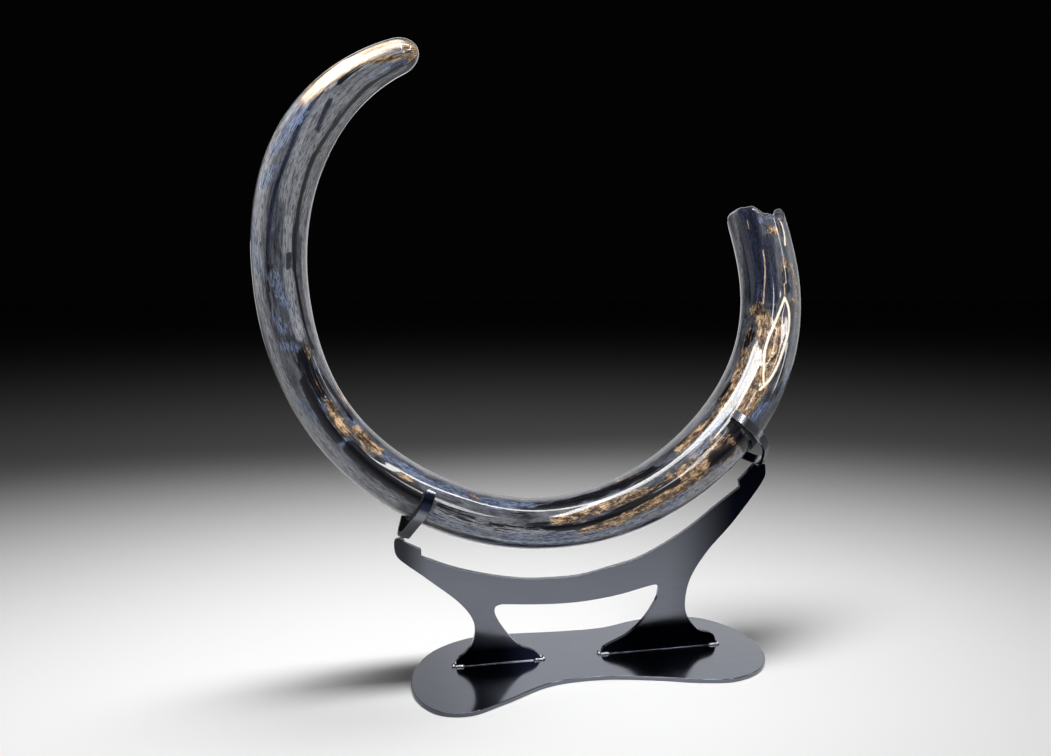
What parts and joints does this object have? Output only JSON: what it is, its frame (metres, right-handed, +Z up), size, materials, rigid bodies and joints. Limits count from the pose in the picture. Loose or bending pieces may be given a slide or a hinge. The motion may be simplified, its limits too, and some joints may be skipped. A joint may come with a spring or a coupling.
{
  "type": "mammoth tusk on a stand",
  "caption": "Polished curved mammoth tusk lying in padded bar cradles on a cut steel plate stand with a lobed base.",
  "frame": {"origin": "middle of the base plate's underside", "axes": "+Z up, -Y towards the front of the stand, +X towards the tusk's root end"},
  "size_m": [1.0759, 0.3891, 1.1205],
  "materials": {
    "ivory": "polished mineralised ivory, grey with slate-blue, black and tan streaks along its length",
    "plate_steel": "satin blue-black steel plate with bare cut edges",
    "bar_steel": "satin dark steel flat bar",
    "weld_steel": "bare welded steel",
    "liner": "matte black liner"
  },
  "bodies": {
    "root": {"tusk": "ivory", "base_plate": "plate_steel", "upright_plate": "plate_steel", "pin_left": "weld_steel", "pin_right": "weld_steel", "cradle_left": "bar_steel", "cradle_right": "bar_steel", "pad_left": "liner", "pad_right": "liner"}
  },
  "joints": []
}
